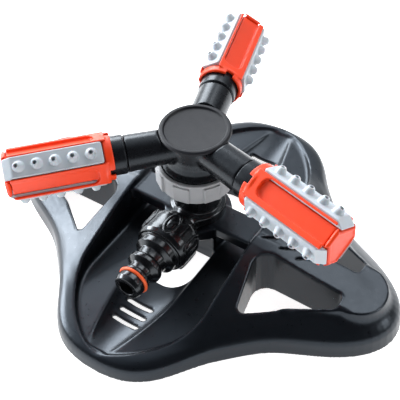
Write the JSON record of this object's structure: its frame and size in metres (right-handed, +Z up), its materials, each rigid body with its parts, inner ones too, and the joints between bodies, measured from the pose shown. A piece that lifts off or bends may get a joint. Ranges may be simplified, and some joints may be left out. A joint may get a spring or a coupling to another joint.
{
  "type": "rotary garden sprinkler",
  "caption": "Rotary garden sprinkler on a four-lobed base, with turnable spray heads on radial arms and a swivel nut inlet with a male quick connector.",
  "frame": {"origin": "on the spindle axis at ground level", "axes": "+Z up along the spindle axis, -Y towards the hose inlet, +X along a long lobe of the base"},
  "size_m": [0.2766, 0.2282, 0.106],
  "materials": {
    "base_plastic": "satin moulded plastic, near black with a blue-grey cast",
    "fitting_plastic": "semi-gloss black plastic",
    "head_plastic": "satin orange-red plastic",
    "strip_rubber": "soft pale grey",
    "ring_plastic": "satin light grey",
    "orange_seal": "soft orange",
    "black_seal": "matt black",
    "bearing_plastic": "natural white",
    "steel": "stainless"
  },
  "bodies": {
    "base": {"base_shell": "base_plastic", "riser_body": "fitting_plastic", "riser_screw_1": "steel", "riser_screw_2": "steel", "lock_ring": "ring_plastic", "thrust_washer": "bearing_plastic", "spindle_bush": "bearing_plastic", "spindle_seal": "black_seal", "inlet_washer": "black_seal", "filter_screen": "steel", "hose_adapter": "fitting_plastic", "adapter_o_ring": "orange_seal"},
    "inlet_nut": {"union_nut": "fitting_plastic"},
    "rotor": {"rotor_hub": "fitting_plastic", "hub_cap": "fitting_plastic", "arm_collar_1": "fitting_plastic", "arm_collar_2": "fitting_plastic", "arm_collar_3": "fitting_plastic", "head_seal_1": "black_seal", "head_seal_2": "black_seal", "head_seal_3": "black_seal"},
    "head_1": {"head_body_1": "head_plastic", "end_cap_1": "head_plastic", "nozzle_strip_1_a": "strip_rubber", "nozzle_strip_1_b": "strip_rubber", "nozzle_strip_1_c": "strip_rubber"},
    "head_2": {"head_body_2": "head_plastic", "end_cap_2": "head_plastic", "nozzle_strip_2_a": "strip_rubber", "nozzle_strip_2_b": "strip_rubber", "nozzle_strip_2_c": "strip_rubber"},
    "head_3": {"head_body_3": "head_plastic", "end_cap_3": "head_plastic", "nozzle_strip_3_a": "strip_rubber", "nozzle_strip_3_b": "strip_rubber", "nozzle_strip_3_c": "strip_rubber"}
  },
  "joints": [
    {"name": "rotor_spin", "type": "hinge", "parent": "base", "child": "rotor", "pos_m": [0, 0, 0.0888], "axis": [0, 0, 1], "continuous": true},
    {"name": "inlet_nut_swivel", "type": "hinge", "parent": "base", "child": "inlet_nut", "pos_m": [0, -0.031, 0.033], "axis": [0, -1, 0], "continuous": true},
    {"name": "head_turn_1", "type": "hinge", "parent": "rotor", "child": "head_1", "pos_m": [0.07779, -0.01868, 0.0888], "axis": [0.9724, -0.2334, 0], "range_deg": [-60, 60]},
    {"name": "head_turn_2", "type": "hinge", "parent": "rotor", "child": "head_2", "pos_m": [-0.02272, 0.07671, 0.0888], "axis": [-0.284, 0.9588, 0], "range_deg": [-60, 60]},
    {"name": "head_turn_3", "type": "hinge", "parent": "rotor", "child": "head_3", "pos_m": [-0.05507, -0.05803, 0.0888], "axis": [-0.6884, -0.7254, 0], "range_deg": [-60, 60]}
  ]
}
